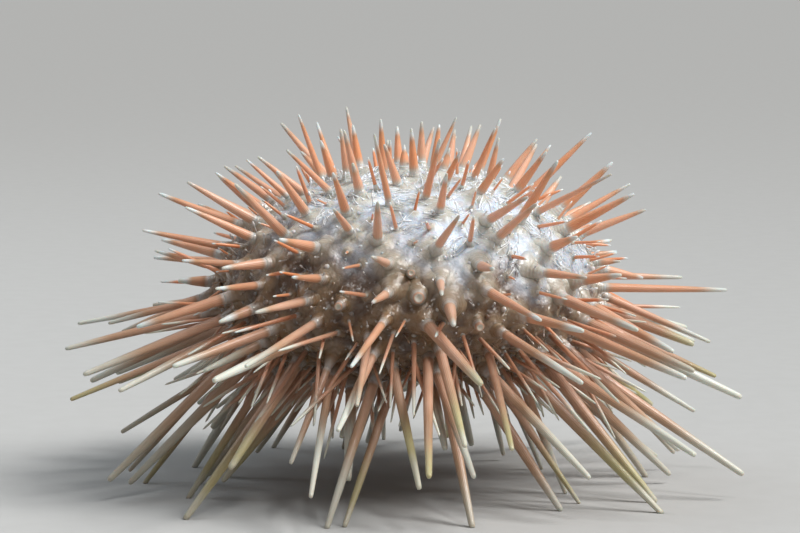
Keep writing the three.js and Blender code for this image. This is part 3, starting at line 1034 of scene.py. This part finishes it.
def add(tree, kind, inputs=None, output=0, **settings):
    """Adds a node with its settings; an input is linked to a socket, or set to a value or a colour."""
    node = tree.nodes.new("ShaderNode" + kind)
    for name, value in settings.items():
        setattr(node, name, value)
    for name, value in (inputs or {}).items():
        if isinstance(value, bpy.types.NodeSocket):
            tree.links.new(value, node.inputs[name])
        else:
            node.inputs[name].default_value = (*value, 1) if isinstance(value, Color) else value
    return node.outputs[output] if node.outputs else None


def new_material(name, *titles):
    """An empty node material, its tree, the piece's coordinates, their height and its named values."""
    material = bpy.data.materials.new(name)
    material.use_nodes = True
    tree = material.node_tree
    tree.nodes.clear()
    place = add(tree, "TexCoord", output="Object")
    # Height along the axis tilted towards the key light, which paints light on the right side and shade on
    # the left.
    height = add(tree, "VectorMath", {0: place, 1: PALE_AND_LIT_AXIS}, "Value", operation="DOT_PRODUCT")
    values = [add(tree, "Attribute", output="Fac", attribute_name=title) for title in titles]
    return material, tree, place, height, *values


def painted(tree, base, *coats):
    """Lays coats on a base: each is a value, where it starts, where it is full, its cover, its colour."""
    for value, start, full, cover, coat in coats:
        zone = {"Value": value, "From Min": start, "From Max": full, "To Max": cover}
        share = add(tree, "MapRange", zone, interpolation_type="SMOOTHSTEP")
        layers = {MIX_SHARE: share, MIX_BASE: base, MIX_COAT: coat}
        base = add(tree, "Mix", layers, MIX_RESULT, data_type="RGBA")
    return base


def surfaced(material, finish, base, height, depth, film=None):
    """Ends a material: relief of a depth, the shader with its finish, and a film's own relief if any."""
    tree = material.node_tree
    relief = add(tree, "Bump", {"Height": height, "Distance": depth})
    look = {**finish, "Base Color": base, "Normal": relief}
    if film:
        look["Coat Normal"] = film
    add(tree, "OutputMaterial", {"Surface": add(tree, "BsdfPrincipled", look)})
    return material


def flesh_colour(tree, colours, place, height, mound):
    """Whitish above, grey brown at the widest part and brown below and in valleys, in soft blotches: partly
    the skin's own colours, partly painted light on the crown and painted shade low down and in the valleys.
    """
    blotches = add(tree, "TexNoise", {"Vector": place, "Scale": 1 / (6 * MM), "Detail": 3})
    level = add(tree, "Math", {0: blotches, 1: 12 * MM, 2: height}, operation="MULTIPLY_ADD")
    patches = add(tree, "TexNoise", {"Vector": place, "Scale": 1 / (4 * MM), "Detail": 2})
    return painted(
        tree,
        colours.skin_below,
        # Paler up the crown and darker brown lower down: partly the skin's own colours, partly painted
        # light above and painted shade below.
        (level, 21 * MM, 31 * MM, 1, colours.skin_middle),
        # The valleys between mounds are painted dark brown: painted shade.
        (mound, 0.6, 0.15, 0.8, colours.valley_shade),
        (level, 32.5 * MM, 40.5 * MM, 0.95, colours.skin_above),
        (patches, 0.56, 0.68, 0.35, colours.skin_middle),
    )


def sleeve_colour(tree, colours, height):
    """Beige brown on the low spines and paler, greyer cream towards the top."""
    return painted(tree, colours.cone_below, (height, 22 * MM, 36 * MM, 1, colours.cone))


def skin_material(colours):
    """Thin skin over shell plates, wet: translucent, blotched, under a crumpled film that glints."""
    material, tree, place, height, mound = new_material("wet urchin skin", "mound")
    speckle = add(tree, "TexNoise", {"Vector": place, "Scale": 1 / (0.9 * MM), "Detail": 2})
    grain = add(tree, "TexNoise", {"Vector": place, "Scale": 1 / (0.8 * MM), "Detail": 4})
    wrinkled = {"Vector": place, "Scale": 1 / (1.7 * MM), "Detail": 2, "Distortion": 1.5}
    crumple = add(tree, "TexNoise", wrinkled)
    base = painted(
        tree,
        flesh_colour(tree, colours, place, height, mound),
        (mound, 0.1, 0.5, 0.85, sleeve_colour(tree, colours, height)),
        (speckle, 0.6, 0.78, 0.35, colours.pearl),
    )
    film = add(tree, "Bump", {"Height": crumple, "Distance": 1.5 * MM})
    return surfaced(material, WET_FLESH, base, grain, 0.25 * MM, film)


def cone_material(colours):
    """Muscle sleeve under clear skin, wet: cream above, brown below, wrinkled in rings as it bends."""
    material, tree, place, height, up, mound = new_material("wet muscle sleeve", "up", "mound")
    base = painted(
        tree,
        flesh_colour(tree, colours, place, height, mound),
        (up, -0.2, 0.3, 0.85, sleeve_colour(tree, colours, height)),
        # The top of each sleeve is painted pale: partly its pale rim, partly a painted highlight.
        (up, 0.5, 1.0, 0.4, colours.pearl),
    )
    strands = add(tree, "TexNoise", {"Vector": place, "Scale": 1 / (0.6 * MM), "Detail": 3})
    angle = add(tree, "Math", {0: up, 1: 2 * np.pi * SLEEVE_RINGS}, operation="MULTIPLY")
    rings = add(tree, "Math", {0: angle}, operation="SINE")
    wrinkles = add(tree, "Math", {0: rings, 1: RING_WRINKLE, 2: strands}, operation="MULTIPLY_ADD")
    film = add(tree, "Bump", {"Height": strands, "Distance": 0.3 * MM})
    return surfaced(material, WET_FLESH, base, wrinkles, 0.1 * MM, film)


def grain_material(colours):
    """Small shell knobs under skin, wet: pearly, tinted by the skin about them."""
    material, tree, place, height, mound = new_material("pearly skin knob", "mound")
    cloud = add(tree, "TexNoise", {"Vector": place, "Scale": 1 / (2.5 * MM)})
    flesh = flesh_colour(tree, colours, place, height, mound)
    base = painted(tree, flesh, (cloud, 0.35, 0.6, 0.45, colours.pearl))
    fine = add(tree, "TexNoise", {"Vector": place, "Scale": 1 / (0.3 * MM)})
    return surfaced(material, WET_FLESH, base, fine, 0.05 * MM)


def spine_material(colours):
    """Calcite spine grown in ribs: salmon shaft, narrow olive turn, and a pale translucent tip."""
    titles = ("past", "above", "low", "tint", "mustard")
    material, tree, place, height, *values = new_material("ribbed calcite spine", *titles)
    past, above, low, tint, mustard = values
    on_map = add(tree, "UVMap", uv_map="Tube")
    round_share = add(tree, "SeparateXYZ", {"Vector": on_map}, "X")
    angle = add(tree, "Math", {0: round_share, 1: 2 * np.pi * RIBS}, operation="MULTIPLY")
    ribs = add(tree, "Math", {0: angle}, operation="SINE")
    cloud = add(tree, "TexNoise", {"Vector": place, "Scale": 1 / (4 * MM), "Detail": 2})
    shaft = painted(
        tree,
        colours.spine,
        (tint, 0.1, 1, 0.6, colours.spine_pale),
        # From 38 mm down to 26 mm the shafts turn half way to the low shaft colour: painted shade.
        (height, 38 * MM, 26 * MM, 0.5, colours.spine_low),
        (low, 0.1, 1, 0.8, colours.spine_low),
        (cloud, 0.4, 0.7, 0.3, colours.spine_pale),
        # The rib grooves are painted a little darker towards olive: painted shade in the grooves.
        (ribs, 0.2, -1, 0.08, colours.spine_turn),
    )
    tip = painted(
        tree,
        colours.tip_white,
        (low, 0, 1, 0.85, colours.tip_cream),
        (tint, 0.25, 0.85, 0.42, colours.spine_turn),
        (mustard, 0, 1, 0.85, colours.tip_mustard),
        (past, 1.1, 2.0, 0.75, colours.tip_cream),
    )
    base = painted(
        tree,
        shaft,
        (past, -3.2, 0.2, 0.5, colours.spine_turn),
        (past, -1.2, 1, 1, tip),
        # Painted shade: darker towards the floor.
        (height, *SHADE_BELOW, colours.cone_below),
        (above, 1.1, -0.2, 0.9, sleeve_colour(tree, colours, height)),
        (above, 0.5, 0, 0.4, colours.pearl),
    )
    return surfaced(material, WET_CALCITE, base, ribs, 0.009 * MM)


def thin_spine_material(colours):
    """Thin calcite spine, too fine for ribs to show: bright orange shaft and a small pale end."""
    titles = ("past", "above", "low", "tint")
    material, tree, place, height, past, above, low, tint = new_material("thin calcite spine", *titles)
    tip = painted(tree, colours.tip_white, (low, 0, 1, 1, colours.tip_cream))
    base = painted(
        tree,
        colours.thin_spine,
        (tint, 0, 1, 0.5, colours.spine_pale),
        (low, 0.2, 1, 0.75, colours.spine_low),
        (past, -1, 1, 1, tip),
        # Painted shade: darker towards the floor.
        (height, *SHADE_BELOW, colours.cone_below),
        (above, 1.1, 0.2, 1, colours.cone),
    )
    fine = add(tree, "TexNoise", {"Vector": place, "Scale": 1 / (0.3 * MM)})
    return surfaced(material, WET_CALCITE, base, fine, 0.02 * MM)


def snapped_material(colours):
    """Freshly snapped calcite: a tan rim round a chalky, porous middle."""
    material, tree, place, _, pith = new_material("snapped calcite spine", "pith")
    pores = add(tree, "TexNoise", {"Vector": place, "Scale": 1 / (0.25 * MM)})
    base = painted(tree, colours.spine_low, (pith, 0.3, 0.75, 0.75, colours.tip_cream))
    return surfaced(material, WET_CALCITE, base, pores, 0.05 * MM)


def clear_material(colours):
    """Glassy water-filled tissue, drawn in the colour it lets through: brown low down, whitish on top."""
    material, tree, place, height = new_material("glassy wet tissue")
    cloud = add(tree, "TexNoise", {"Vector": place, "Scale": 1 / (1.5 * MM)})
    base = painted(
        tree,
        colours.skin_middle,
        (height, 18 * MM, 37 * MM, 1, colours.clear_tissue),
        (cloud, 0.5, 0.7, 0.5, colours.pearl),
    )
    return surfaced(material, CLEAR_TISSUE, base, cloud, 0.1 * MM)


def tooth_material(colours):
    """Stony tooth, ground smooth at its end: chalky white with fine lines of growth."""
    material, tree, place, _ = new_material("calcite tooth")
    lines = add(tree, "TexWave", {"Vector": place, "Scale": 1 / (1.2 * MM)}, "Fac", bands_direction="Z")
    stain = add(tree, "TexNoise", {"Vector": place, "Scale": 1 / (1.5 * MM)})
    base = painted(tree, colours.tooth, (stain, 0.45, 0.8, 0.5, colours.cone))
    return surfaced(material, WET_CALCITE, base, lines, 0.03 * MM)


def floor_material(colours):
    """Matt painted board: even, with the faint orange peel of a roller."""
    material, tree, place, _ = new_material("matt painted board")
    peel = add(tree, "TexNoise", {"Vector": place, "Scale": 1 / (4 * MM)})
    base = painted(tree, colours.floor, (peel, 0.3, 0.7, 0.03, colours.pearl))
    return surfaced(material, MATT_PAINT, base, peel, 0.05 * MM)


# ---- the stage

KEY_PLACE = (0.31, -0.09, 0.4)
KEY_ANGLE = 0.45
KEY_COLOUR = (1.0, 0.99, 0.98)
FILL_PLACE = (-0.3, 0.1, 0.45)
FILL_WIDTH = 0.4
FILL_COLOUR = (0.85, 0.93, 1.0)
GLINT_PLACE = (0.14, -0.3, 0.44)
GLINT_WIDTH = 0.06
SENSOR_WIDTH = 36


def placed(name, data, place, target):
    """An object at a place, with its -Z axis turned to a target."""
    thing = new_object(name, data)
    thing.location = place
    thing.rotation_euler = (Vector(target) - Vector(place)).to_track_quat("-Z", "Y").to_euler()
    return thing


def lamp(name, kind, place, target, **settings):
    """A lamp at a place that shines at a target."""
    light = bpy.data.lights.new(name, kind)
    for title, value in settings.items():
        setattr(light, title, value)
    placed(name, light, place, target)


def build_stage(studio, colours):
    """A wide matt floor, a soft sun from the right, a cool fill, a small glinting lamp and the camera."""
    half = studio.floor_size / 2
    corners = [(-half, -half, 0), (half, -half, 0), (half, half, 0), (-half, half, 0)]
    mesh = bpy.data.meshes.new("floor")
    mesh.from_pydata(corners, [], [(0, 1, 2, 3)])
    mesh.materials.append(floor_material(colours))
    new_object("floor", mesh)

    middle = (0, 0, studio.aim_height)
    lamp("key", "SUN", KEY_PLACE, middle, energy=studio.key_strength, angle=KEY_ANGLE, color=KEY_COLOUR)
    lamp("fill", "AREA", FILL_PLACE, middle, energy=studio.fill_power, size=FILL_WIDTH, color=FILL_COLOUR)
    lamp("glint", "AREA", GLINT_PLACE, middle, energy=studio.glint_power, size=GLINT_WIDTH)

    scene = bpy.context.scene
    scene.world = bpy.data.worlds.new("studio")
    scene.world.use_nodes = True
    backdrop = scene.world.node_tree.nodes["Background"]
    backdrop.inputs["Color"].default_value = (*colours.sky, 1)
    backdrop.inputs["Strength"].default_value = studio.room_strength
    scene.view_settings.view_transform = "Standard"

    camera = bpy.data.cameras.new("camera")
    camera.lens = studio.lens
    camera.sensor_width = SENSOR_WIDTH
    target = np.array([studio.aim_side, 0, studio.aim_height])
    back = studio.distance * np.array([0, -np.cos(studio.elevation), np.sin(studio.elevation)])
    scene.camera = placed("camera", camera, target + back, target)


# ---- operators, panel and registration


def built(scene, *builders):
    """Builds pieces with the scene's sizes and colours."""
    for build in builders:
        build(scene.urchin_sizes, scene.urchin_colours)
    return {"FINISHED"}


class URCHIN_OT_skin(bpy.types.Operator):
    """Build the skin over the shell and the mouth"""

    bl_idname = "sea_urchin.skin"
    bl_label = "Skin"

    def execute(self, context):
        return built(context.scene, build_skin)


class URCHIN_OT_cones(bpy.types.Operator):
    """Build the fleshy cones that spines stand in"""

    bl_idname = "sea_urchin.cones"
    bl_label = "Fleshy Cones"

    def execute(self, context):
        return built(context.scene, build_cones)


class URCHIN_OT_spines(bpy.types.Operator):
    """Build the large spines, the thin ones between them and the snapped ones"""

    bl_idname = "sea_urchin.spines"
    bl_label = "Spines"

    def execute(self, context):
        return built(context.scene, build_spines, build_thin_spines, build_snapped_spines)


class URCHIN_OT_tube_feet(bpy.types.Operator):
    """Build the tube feet"""

    bl_idname = "sea_urchin.tube_feet"
    bl_label = "Tube Feet"

    def execute(self, context):
        return built(context.scene, build_tube_feet)


class URCHIN_OT_pincers(bpy.types.Operator):
    """Build the pincers"""

    bl_idname = "sea_urchin.pincers"
    bl_label = "Pincers"

    def execute(self, context):
        return built(context.scene, build_pincers)


class URCHIN_OT_grains(bpy.types.Operator):
    """Build the small knobs of the skin"""

    bl_idname = "sea_urchin.grains"
    bl_label = "Grains"

    def execute(self, context):
        return built(context.scene, build_grains)


class URCHIN_OT_teeth(bpy.types.Operator):
    """Build the five teeth"""

    bl_idname = "sea_urchin.teeth"
    bl_label = "Teeth"

    def execute(self, context):
        return built(context.scene, build_teeth)


class URCHIN_OT_stage(bpy.types.Operator):
    """Set up the floor, the lights and the camera"""

    bl_idname = "sea_urchin.stage"
    bl_label = "Stage"

    def execute(self, context):
        build_stage(context.scene.urchin_studio, context.scene.urchin_colours)
        return {"FINISHED"}


OPERATORS = (
    URCHIN_OT_skin,
    URCHIN_OT_cones,
    URCHIN_OT_spines,
    URCHIN_OT_tube_feet,
    URCHIN_OT_pincers,
    URCHIN_OT_grains,
    URCHIN_OT_teeth,
    URCHIN_OT_stage,
)
GROUPS = {"urchin_sizes": UrchinSizes, "urchin_colours": UrchinColours, "urchin_studio": UrchinStudio}


class URCHIN_PT_panel(bpy.types.Panel):
    """Lists the urchin's pieces and its settings"""

    bl_idname = "URCHIN_PT_panel"
    bl_label = "Sea Urchin"
    bl_space_type = "VIEW_3D"
    bl_region_type = "UI"
    bl_category = "Sea Urchin"

    def draw(self, context):
        for operator in OPERATORS:
            self.layout.operator(operator.bl_idname)
        for group in GROUPS:
            settings = getattr(context.scene, group)
            for title in settings.__annotations__:
                self.layout.prop(settings, title)


CLASSES = (*GROUPS.values(), *OPERATORS, URCHIN_PT_panel)


def register():
    for each in CLASSES:
        bpy.utils.register_class(each)
    for title, group in GROUPS.items():
        setattr(bpy.types.Scene, title, PointerProperty(type=group))


def unregister():
    for title in GROUPS:
        delattr(bpy.types.Scene, title)
    for each in reversed(CLASSES):
        bpy.utils.unregister_class(each)


def main():
    register()
    bpy.ops.sea_urchin.skin()
    bpy.ops.sea_urchin.cones()
    bpy.ops.sea_urchin.spines()
    bpy.ops.sea_urchin.tube_feet()
    bpy.ops.sea_urchin.pincers()
    bpy.ops.sea_urchin.grains()
    bpy.ops.sea_urchin.teeth()
    bpy.ops.sea_urchin.stage()


if __name__ == "__main__":
    main()
